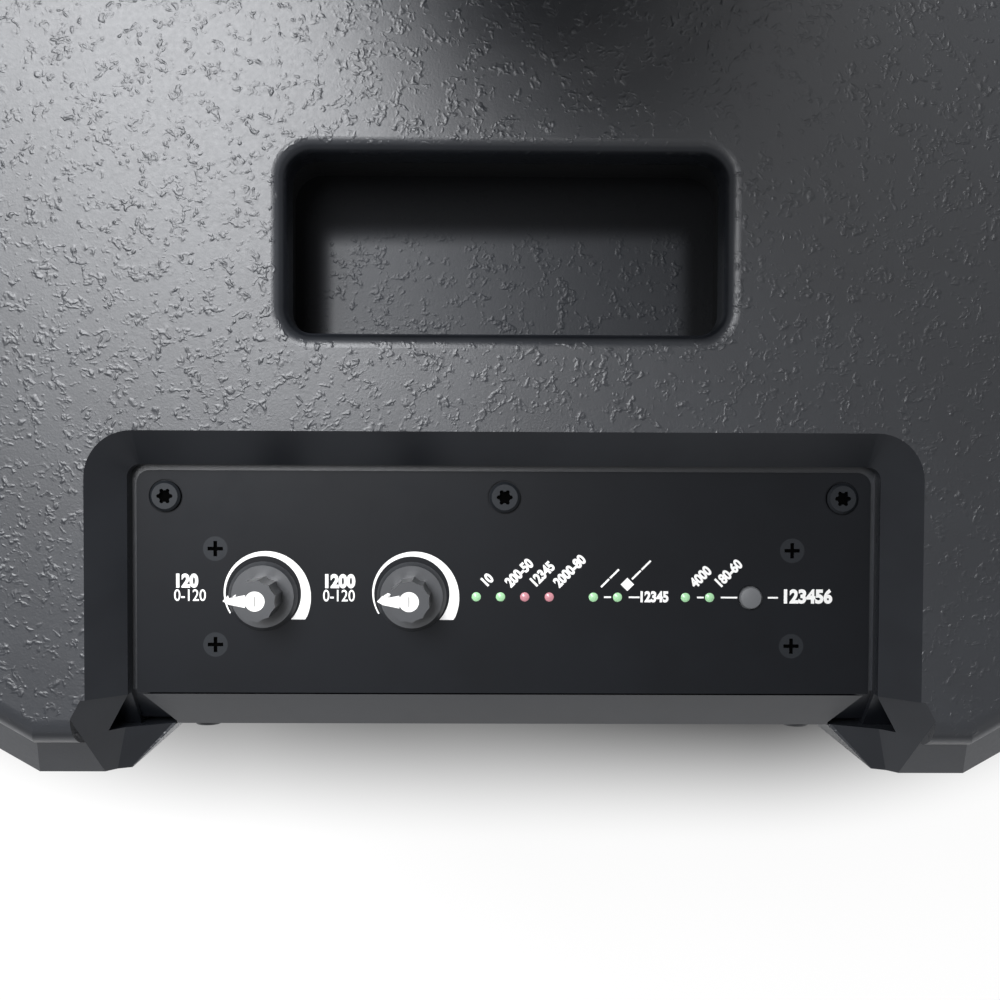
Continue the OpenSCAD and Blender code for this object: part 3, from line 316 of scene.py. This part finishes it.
def foam(name="foam"):
    f = Finish(name)
    poreShade = f.cells(1.3, "SMOOTH_F1").fade(0.1, 0.6)
    # painted shade: the sunk parts of the pores are coloured darker
    return f.surface(colour=f.blend(poreShade, (0.010, 0.010, 0.010), (0.004, 0.004, 0.004)), rough=0.95,
                     normal=f.bump(poreShade * -0.6))


def paperCone(name="paperCone"):
    f = Finish(name)
    pulp = f.noise(1.2, 5.0, 0.75, warp=1.2)
    blot = f.noise(10.0, 2.0)
    return f.surface(colour=f.blend(blot, (0.018, 0.018, 0.018), (0.032, 0.031, 0.030)),
                     rough=0.8 + (pulp - 0.5) * 0.2, normal=f.bump(pulp * 0.12))


def spiderCloth(name="spiderCloth"):
    f = Finish(name)
    x, y, z = f.parts(f.place)
    weave = f.node("ShaderNodeMath", {"operation": "SINE"}, {0: x * 9.0}) * \
        f.node("ShaderNodeMath", {"operation": "SINE"}, {0: z * 9.0})
    return f.surface(colour=f.blend(weave.fade(-0.6, 0.6), (0.42, 0.24, 0.06), (0.68, 0.46, 0.17)),
                     rough=0.75, normal=f.bump(weave * 0.05))


def circuitBoard(name="circuitBoard"):
    f = Finish(name)
    tracks = f.cells(3.2, "DISTANCE_TO_EDGE").fade(0.03, 0.07)
    mask = f.blend(tracks, (0.004, 0.055, 0.018), (0.006, 0.085, 0.030))
    return f.surface(colour=mask, rough=0.32 + tracks * 0.08, normal=f.bump(tracks * -0.02))


def lens(name, core, rim):  # pale domed lamp in its dark hole, with painted shade darkening its rim where it turns away from view
    f = Finish(name)
    grazingShade = f.node("ShaderNodeLayerWeight", {}, {"Blend": 0.35}, 1)
    cloud = f.noise(0.8, 2.0)
    # painted shade: the colour goes darker where the dome faces away from the view
    colour = f.blend(grazingShade.fade(0.06, 0.55), core, rim)
    return f.surface(colour=colour, rough=0.22 + cloud * 0.05, glowColour=colour, glow=0.28,
                     normal=f.bump(cloud * 0.01))


def whiteInk(name="whiteInk", tone=0.86):
    f = Finish(name)
    speck = f.noise(0.25, 2.0)
    cover = f.noise(3.0, 2.0).fade(0.25, 0.75)
    return f.surface(colour=f.blend(cover, (tone * 0.96,) * 3, (tone,) * 3), rough=0.5 + (speck - 0.5) * 0.1,
                     normal=f.bump(speck * 0.006))


def capacitorSleeve(name="capacitorSleeve"):
    f = Finish(name)
    shrink = f.noise(4.0, 2.0)
    return f.surface(colour=f.blend(shrink, (0.010, 0.013, 0.060), (0.018, 0.022, 0.095)),
                     rough=0.3 + shrink * 0.1, normal=f.bump(shrink * 0.05))


finishes = {
    "coat": sprayedCoat(),
    "plywood": plywood(),
    "wadding": wadding(),
    "cast_metal": castMetal(),
    "black_screw": blackedScrew(),
    "zinc_screw": turnedMetal("zincScrew", (0.62, 0.62, 0.60), 0.28),
    "rubber": rubber("rubber"),
    "steel_sheet": powderPaint("grillePaint", 0.5, 0.03),
    "foam": foam(),
    "black_plastic": blackPlastic("blackPlastic", (0.016, 0.016, 0.017), 0.42),
    "paper_cone": paperCone(),
    "spider_cloth": spiderCloth(),
    "copper": turnedMetal("copperWire", (0.80, 0.36, 0.16), 0.3),
    "steel": turnedMetal("zincPlatedSteel", (0.60, 0.60, 0.61), 0.32),
    "ferrite": castMetal("ferrite"),
    "green_lens": lens("greenLens", (0.27, 0.50, 0.28), (0.015, 0.045, 0.018)),
    "red_lens": lens("redLens", (0.40, 0.17, 0.20), (0.055, 0.014, 0.020)),
    "board": circuitBoard(),
    "knob_grey": blackPlastic("knobGrey", (0.027, 0.029, 0.033), 0.30, 0.008),
    "white": blackPlastic("whiteInlay", (0.88, 0.88, 0.87), 0.38, 0.004),
    "anodised": turnedMetal("blackAnodised", (0.030, 0.030, 0.032), 0.42, 0.6),
    "capacitor": capacitorSleeve(),
}
ownFinish = {
    "control_plate": powderPaint("platePaint", gloss=0.10, deep=0.45),
    "rear_plate": powderPaint("rearPaint", 0.34, gloss=0.45),
    "board_screws": blackedScrew("boardScrew", "board_screws"),
    "plate_screws": blackedScrew("plateScrew", "plate_screws", (1.05, 1.35)),
    "system_button": buttonCap(),
    "plate_frame": sprayedCoat("frameCoat", 0.0),
    "handle_tray": trayCoat(),
    "woofer_surround": rubber("surroundRubber", (0.011, 0.011, 0.012), 0.6),
}


def dress(node, material):
    mesh = nodes[node].data
    mesh.materials.clear()
    mesh.materials.append(material)


for part in frame["record"]["subparts"]:
    dress(part["node"], ownFinish.get(part["node"], finishes[part["material_slot"]]))
print("finishes assigned:", len(finishes) + len(ownFinish))


ink = {"thick": 0.04, "low": 0.005, "stroke": 0.62, "dash": 0.55,
       "inner": 12.3, "rise": 0.8, "thin": 0.4, "grow": 0.0048, "growMore": 3.8e-5,
       "sweep": (-49.0, 211.0), "cut": 7.6, "capHeight": 1.42}


class Print:  # flat ink shapes in one mesh, on a plane given by its origin and two directions
    def __init__(self, origin, right, up):
        self.origin, self.right, self.up = Vector(origin), Vector(right), Vector(up)
        self.out = self.right.cross(self.up)
        self.points, self.faces = [], []

    def place(self, u, v, lift):
        return (self.origin + self.right * u + self.up * v + self.out * lift) * mm

    def shape(self, outline, low=ink["low"]):  # a closed outline, anticlockwise, given ink thickness
        first, count = len(self.points), len(outline)
        for lift in (low, ink["thick"]):
            self.points += [self.place(u, v, lift) for u, v in outline]
        self.faces.append([first + k for k in reversed(range(count))])
        self.faces.append([first + count + k for k in range(count)])
        for k in range(count):
            after = (k + 1) % count
            self.faces.append([first + k, first + after, first + count + after, first + count + k])

    def line(self, start, end, wide):
        a, b = Vector(start), Vector(end)
        side = (b - a).normalized().orthogonal() * wide / 2
        self.shape([a + side, a - side, b - side, b + side] if side.cross(b - a) > 0 else
                   [a - side, a + side, b + side, b - side])

    def piece(self, name, material, body="cabinet"):
        mesh = bpy.data.meshes.new(name)
        mesh.from_pydata(self.points, [], self.faces)
        mesh.materials.append(material)
        mesh.validate()
        made = bpy.data.objects.new(name, mesh)
        scene.collection.objects.link(made)
        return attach(made, body)


def numbers(name, text, at, right, up, height, bold=0.0, narrow=0.8, turn=0.0, align="LEFT", material=None):
    curve = bpy.data.curves.new(name, "FONT")
    curve.body = text
    curve.size = height * mm * ink["capHeight"]  # the font's size for digits of this height
    curve.offset = bold * mm
    curve.extrude = ink["thick"] / 2 * mm
    curve.align_x, curve.align_y = align, "CENTER"
    curve.resolution_u = 4
    made = bpy.data.objects.new(name, curve)
    right, up = Vector(right), Vector(up)
    basis = Matrix((right, up, right.cross(up))).transposed()
    spin = Matrix.Rotation(turn, 3, "Z") @ Matrix.Diagonal((narrow, 1.0, 1.0))
    place = (basis @ spin).to_4x4()
    place.translation = (Vector(at) + right.cross(up) * ink["thick"] / 2) * mm
    made.matrix_world = place
    scene.collection.objects.link(made)
    curve.materials.append(material)
    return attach(made, "cabinet")


white = whiteInk()
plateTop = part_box("control_plate")[1].z / mm
rowY = (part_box("sub_knob")[0].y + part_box("sub_knob")[1].y) / 2 / mm


def middle(node):
    low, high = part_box(node)
    return (low + high) / 2 / mm


# The plate is read from behind the cabinet: right is -X, up is -Y
left, down = Vector((-1, 0, 0)), Vector((0, -1, 0))
row = {"dashes": [(32.6, 34.9), (40.7, 44.2), (63.0, 65.2), (70.8, 76.2), (86.2, 89.5)],
       "slants": [(31.6, 3.3, 3.7), (34.5, 6.2, 4.1), (41.7, 5.9, 4.0), (44.8, 9.0, 4.2)],
       "diamond": [(38.0, 4.2), (40.2, 2.0), (42.4, 4.2), (40.2, 6.4)], "steps": 48}
plate = Print((0, rowY, plateTop), left, down)
for knob in ("sub_knob", "main_knob"):  # a crescent round each knob
    centre = -middle(knob).x
    start, end = (math.radians(a) for a in ink["sweep"])
    inner, outer = [], []
    for k in range(row["steps"] + 1):
        turned = k / row["steps"] * (end - start)
        degrees = math.degrees(turned)
        angle = end - turned  # from the thin end, over the top, to the thick end
        wide = ink["thin"] + ink["grow"] * degrees + ink["growMore"] * degrees ** 2
        for ring, radius in ((inner, ink["inner"]), (outer, ink["inner"] + wide)):
            u, v = radius * math.cos(angle), ink["rise"] + radius * math.sin(angle)
            ring.append((centre + u, max(v, -ink["cut"])))
    plate.shape(outer[::-1] + inner)
for a, b in row["dashes"]:
    plate.line((a, 0), (b, 0), ink["dash"])
for u, v, long in row["slants"]:
    along = long * math.sqrt(0.5)
    plate.line((u, v), (u + along, v + along), ink["stroke"])
plate.shape(row["diamond"])
plate.piece("plateMarks", white)

hubLine = {"long": 3.2, "wide": 0.34}
pointerTip = {"low": -0.35, "sunk": 0.03,
              "outline": [(-3.0, -2.0), (-3.0, 2.0), (-8.0, 1.0), (-8.3, 1.9), (-10.0, 0.1), (-8.2, -0.95)]}
grey = whiteInk("hubLineInk", 0.20)
for knob in ("sub_knob", "main_knob"):
    low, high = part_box(knob + "_pointer")
    centre = middle(knob)
    mark = Print((centre.x, centre.y, high.z / mm), left, down)
    mark.line((0.0, -hubLine["long"] / 2), (0.0, hubLine["long"] / 2), hubLine["wide"])
    mark.piece(knob + "_hub_line", grey, knob)
    arrow = Print((centre.x, centre.y, high.z / mm - pointerTip["sunk"]), left, down)
    arrow.shape(pointerTip["outline"], pointerTip["low"])
    arrow.piece(knob + "_arrow", white, knob)

lettering = {  # height, stroke weight, width, turn in degrees
    "heading": (4.1, 0.30, 0.90, 0.0), "scale": (3.8, 0.03, 0.84, 0.0),
    "slanted": (3.2, 0.22, 0.83, 45.0),
    "pair": (3.3, 0.22, 0.84, 0.0), "button": (4.2, 0.30, 0.93, 0.0)}
labels = [
    ("levelTopA", "120", (107.5, 151.1), "heading"), ("levelLowA", "0-120", (107.5, 155.8), "scale"),
    ("levelTopB", "1200", (59.1, 151.1), "heading"), ("levelLowB", "0-120", (59.1, 155.8), "scale"),
    ("lampNumber1", "10", (6.9, 151.8), "slanted"), ("lampNumber2", "200-50", (-1.2, 151.8), "slanted"),
    ("lampNumber3", "12345", (-9.1, 151.8), "slanted"),
    ("lampNumber4", "2000-80", (-17.0, 151.8), "slanted"),
    ("pairNumber", "12345", (-43.9, 155.8), "pair"), ("modeNumber1", "4000", (-61.6, 151.8), "slanted"),
    ("modeNumber2", "180-60", (-69.5, 151.8), "slanted"),
    ("buttonNumber", "123456", (-90.6, 155.6), "button"),
]
for name, text, (x, y), kind in labels:
    height, bold, narrow, turn = lettering[kind]
    numbers(name, text, (x, y, plateTop), left, down, height, bold, narrow, math.radians(turn),
            material=white)
# The rear plate is read from behind: right is -X, up is +Z
rise = Vector((0, 0, 1))
rearDial = {"ticks": 11, "sweep": 140.0, "inner": 9.6, "outer": 11.2, "wide": 0.4,
            "height": 3.2, "bold": 0.06, "narrow": 0.9, "end": (9.5, -10.8), "top": 13.6,
            "markFrom": 1.2, "markTo": 4.2, "markWide": 0.7}
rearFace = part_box("rear_plate")[1].y / mm
knobs = [f"channel_{k}_knob" for k in range(1, 5)]
for k, knob in enumerate(knobs):
    centre, face = middle(knob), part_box(knob)[1].y / mm
    dial = Print((centre.x, rearFace, centre.z), left, rise)
    for tick in range(rearDial["ticks"]):
        turned = 2 * rearDial["sweep"] * tick / (rearDial["ticks"] - 1)
        angle = math.radians(90.0 + rearDial["sweep"] - turned)
        ray = Vector((math.cos(angle), math.sin(angle)))
        dial.line(ray * rearDial["inner"], ray * rearDial["outer"], rearDial["wide"])
    dial.piece(knob + "_dial", white)
    mark = Print((centre.x, face, centre.z), left, rise)
    mark.line((0.0, rearDial["markFrom"]), (0.0, rearDial["markTo"]), rearDial["markWide"])
    mark.piece(knob + "_mark", white, knob)
    endU, endV = rearDial["end"]
    for name, text, u, v in (("Low", "0", -endU, endV), ("High", "10", endU, endV),
                             ("Name", str(k + 1), 0.0, rearDial["top"])):
        numbers(f"dial{k + 1}{name}", text, (centre.x - u, rearFace, centre.z + v), left, rise,
                rearDial["height"], rearDial["bold"], rearDial["narrow"], 0.0, "CENTER", white)
print("marks printed")


view = {"eye": (0.00604, 0.1100, 0.8941), "aim": (0.0015, 0.1242, 0.4650), "roll": 0.0045, "lens": 47.5}
camera = bpy.data.objects.new("camera", bpy.data.cameras.new("camera"))
scene.collection.objects.link(camera)
sight = (Vector(view["aim"]) - Vector(view["eye"])).normalized()
side = sight.cross(Vector((0, -1, 0))).normalized()
turned = Matrix((side, side.cross(sight), -sight)).transposed().to_4x4()
turned = turned @ Matrix.Rotation(view["roll"], 4, "Z")
turned.translation = Vector(view["eye"])
camera.matrix_world = turned
camera.data.lens = view["lens"]
camera.data.clip_start, camera.data.clip_end = 0.01, 50.0
scene.camera = camera

studio = {"floor": 14.0, "matt": (0.82, 0.82, 0.82), "mattSeen": (0.11, 0.11, 0.11), "world": 0.004,
          "floorGlow": 0.92, "floorShade": (0.01, 0.14), "lean": (-200.0, 60.0), "floorShine": 1.0,
          "mirrorShade": (60.0, 1100.0), "foot": (175.0, 215.0), "shade": (56.0, 162.0), "sideways": 0.56,
          "key": {"at": (0.50, -0.60, 2.2), "size": (0.85, 1.3), "power": 88.0},
          "fill": {"at": (-0.9, -0.7, 2.2), "size": (0.8, 0.8), "power": 1.5},
          "pole": {"radius": 0.072, "sides": 32, "at": (-0.004, -0.090), "from": 0.60, "to": 1.5}}


def lamp(name, at, size, power, aim=(0.0, 0.0, 0.40)):
    light = bpy.data.lights.new(name, "AREA")
    light.shape, light.size, light.size_y, light.energy = "RECTANGLE", size[0], size[1], power
    made = bpy.data.objects.new(name, light)
    made.location = at
    made.rotation_euler = (Vector(aim) - Vector(at)).to_track_quat("-Z", "Y").to_euler()
    scene.collection.objects.link(made)
    return made


lamp("key", **studio["key"])
lamp("fill", **studio["fill"])

world = bpy.data.worlds.new("studioWorld")
scene.world = world
g = Graph(world)
seen = g.rays("Is Camera Ray").larger(g.rays("Is Transmission Ray")).larger(g.rays("Is Glossy Ray"))
background = g.node("ShaderNodeBackground", {}, {
    "Color": (1.0, 1.0, 1.0), "Strength": seen * (1.0 - studio["world"]) + studio["world"]})
g.tree.links.new(background.socket, g.tree.nodes.new("ShaderNodeOutputWorld").inputs["Surface"])

floorMesh = bpy.data.meshes.new("floor")
half = studio["floor"] / 2
floorMesh.from_pydata([(-half, -half, 0), (half, -half, 0), (half, half, 0), (-half, half, 0)], [],
                      [(0, 1, 2, 3)])
floor = bpy.data.objects.new("floor", floorMesh)
scene.collection.objects.link(floor)
f = Finish("paleFloor", None)
seen, mirrored = f.rays("Is Camera Ray"), f.rays("Is Glossy Ray")
x, y, z = f.parts(f.vector("ABSOLUTE", f.place))
besideFoot = (x - studio["foot"][0]).larger(0.0) * studio["sideways"]
behindFoot = (y - studio["foot"][1]).larger(0.0)
beyond = (besideFoot ** 2.0 + behindFoot ** 2.0) ** 0.5  # distance outside the cabinet's footprint
lit = beyond.fade(*studio["shade"])  # a painted soft shadow round the cabinet, deeper towards -X
# painted shadow level, darker towards -X
deep = f.parts(f.place)[0].fade(*studio["lean"], *studio["floorShade"])
shown = seen * (lit * studio["floorGlow"] + (1.0 - lit) * deep)
# painted shade: the floor's reflection fades to dark close to the cabinet
shown = shown + mirrored * beyond.fade(*studio["mirrorShade"]) * studio["floorShine"]
glow = f.node("ShaderNodeEmission", {}, {"Color": f.blend(shown, (0.0, 0.0, 0.0), (1.0, 1.0, 1.0)),
                                         "Strength": 1.0})
matt = f.node("ShaderNodeBsdfDiffuse", {}, {"Color": f.blend(seen, studio["matt"], studio["mattSeen"])})
both = f.node("ShaderNodeAddShader", {}, {0: matt, 1: glow})
f.tree.links.new(both.socket, f.output.inputs["Surface"])
floorMesh.materials.append(f.material)

# A wide stand-in for the pole above the cabinet: never seen, it only dims the light on the top face
poleMesh = bpy.data.meshes.new("pole")
rod = studio["pole"]
count, (midX, midY) = rod["sides"], rod["at"]
ring = []
for k in range(count):
    angle = k * math.tau / count
    ring.append((midX + rod["radius"] * math.cos(angle), midY + rod["radius"] * math.sin(angle)))
poleMesh.from_pydata([(x, y, z) for z in (rod["from"], rod["to"]) for x, y in ring], [],
                     [(k, (k + 1) % count, count + (k + 1) % count, count + k) for k in range(count)])
pole = bpy.data.objects.new("pole", poleMesh)
scene.collection.objects.link(pole)
poleMesh.materials.append(powderPaint("polePaint"))
pole.visible_camera = pole.visible_transmission = False

scene.view_settings.view_transform = "Standard"
print("camera, floor and lamps placed")
